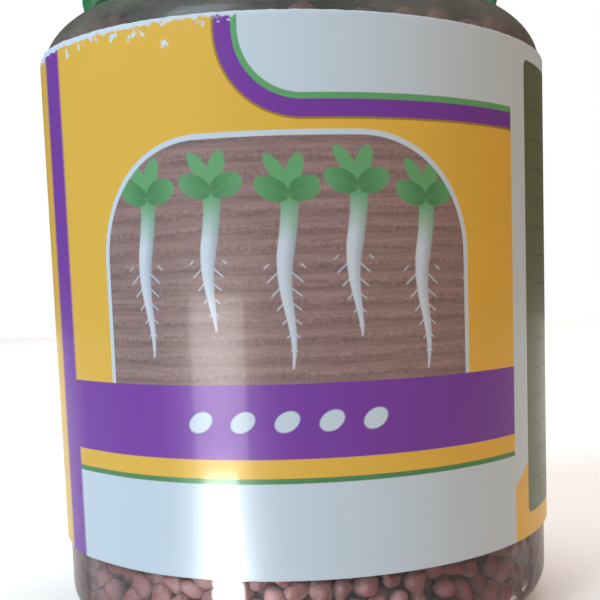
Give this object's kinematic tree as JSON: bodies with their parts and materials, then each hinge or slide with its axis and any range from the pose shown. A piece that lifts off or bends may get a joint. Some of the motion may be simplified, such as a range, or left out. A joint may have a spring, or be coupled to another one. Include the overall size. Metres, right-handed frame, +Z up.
{
  "type": "screw-lid seed jar",
  "caption": "Clear round plastic jar of coated seeds with a printed wrap-around label, a threaded neck, a sealing wad and a ribbed screw lid that turns and rises.",
  "frame": {"origin": "middle of the jar's foot, on the surface it stands on", "axes": "+Z up the jar's axis to the lid, -Y the front of the label, +X to the right seen from the front"},
  "size_m": [0.08, 0.08, 0.1115],
  "materials": {
    "clear_plastic": "clear, glossy, lightly dusty at the shoulder",
    "label_film": "printed film, glossy, worn at the top edge",
    "seed_coat": "dull red-brown seed coating",
    "foam_wad": "white foam",
    "lid_plastic": "moulded, half-gloss green"
  },
  "bodies": {
    "jar": {"jar": "clear_plastic", "label": "label_film", "seeds": "seed_coat"},
    "wad": {"wad": "foam_wad"},
    "lid": {"lid": "lid_plastic"}
  },
  "joints": [
    {"name": "lid_lift", "type": "slide", "parent": "jar", "child": "wad", "axis": [0, 0, 1], "range_m": [0, 0.0065]},
    {"name": "lid_turn", "type": "hinge", "parent": "wad", "child": "lid", "pos_m": [0, 0, 0.102], "axis": [0, 0, 1], "range_deg": [0, 450]}
  ],
  "couplings": [
    {"joint": "lid_lift", "follows": "lid_turn", "m_per_rad": 0.00079577}
  ]
}
